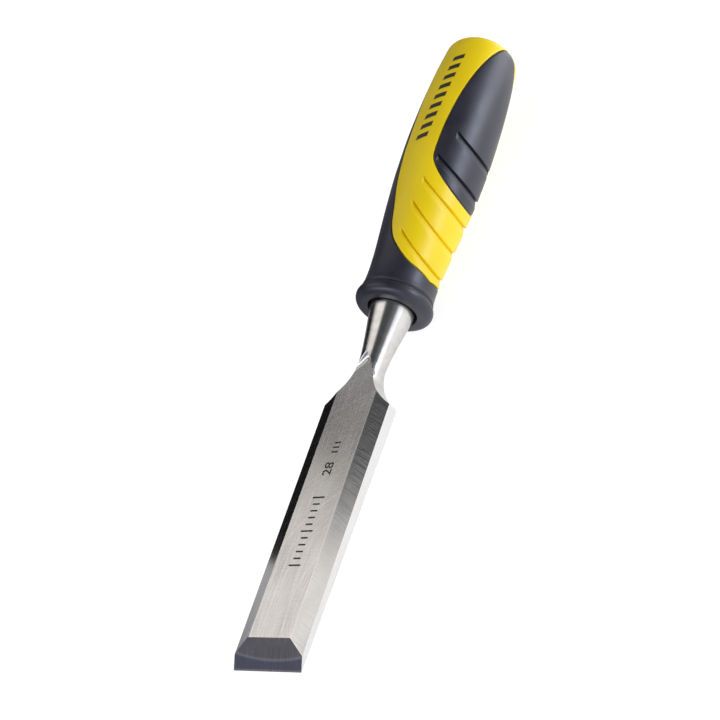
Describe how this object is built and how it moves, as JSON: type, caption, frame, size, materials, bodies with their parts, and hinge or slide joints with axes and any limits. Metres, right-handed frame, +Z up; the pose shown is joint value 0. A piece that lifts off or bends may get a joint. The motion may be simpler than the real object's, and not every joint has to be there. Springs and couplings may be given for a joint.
{
  "type": "bench chisel",
  "caption": "Bevel-edge bench chisel: a flat steel blade with long side bevels, necked into a swelled handle of hard plastic with soft grip inlays and a rounded butt",
  "frame": {"origin": "Under the middle of the tool's box, on the bench it lies on. The tool rests on its cutting edge and on the rim of its collar, bevelled face up.", "axes": "+Y runs from the cutting edge towards the butt, +Z is up, and +X is the tool's right-hand side seen from above with the handle away. The tool's own axis is pitched about 5 degrees up from +Y."},
  "size_m": [0.0302, 0.24, 0.0353],
  "materials": {
    "blade_steel": "ground steel with fine grinding marks, polished round the neck",
    "handle_plastic": "hard moulded yellow plastic, satin gloss",
    "soft_grip": "black soft-touch grip, satin"
  },
  "bodies": {
    "root": {"blade": "blade_steel", "handle_core": "handle_plastic", "grip_sleeve": "soft_grip", "grip_panel": "soft_grip"}
  },
  "joints": []
}
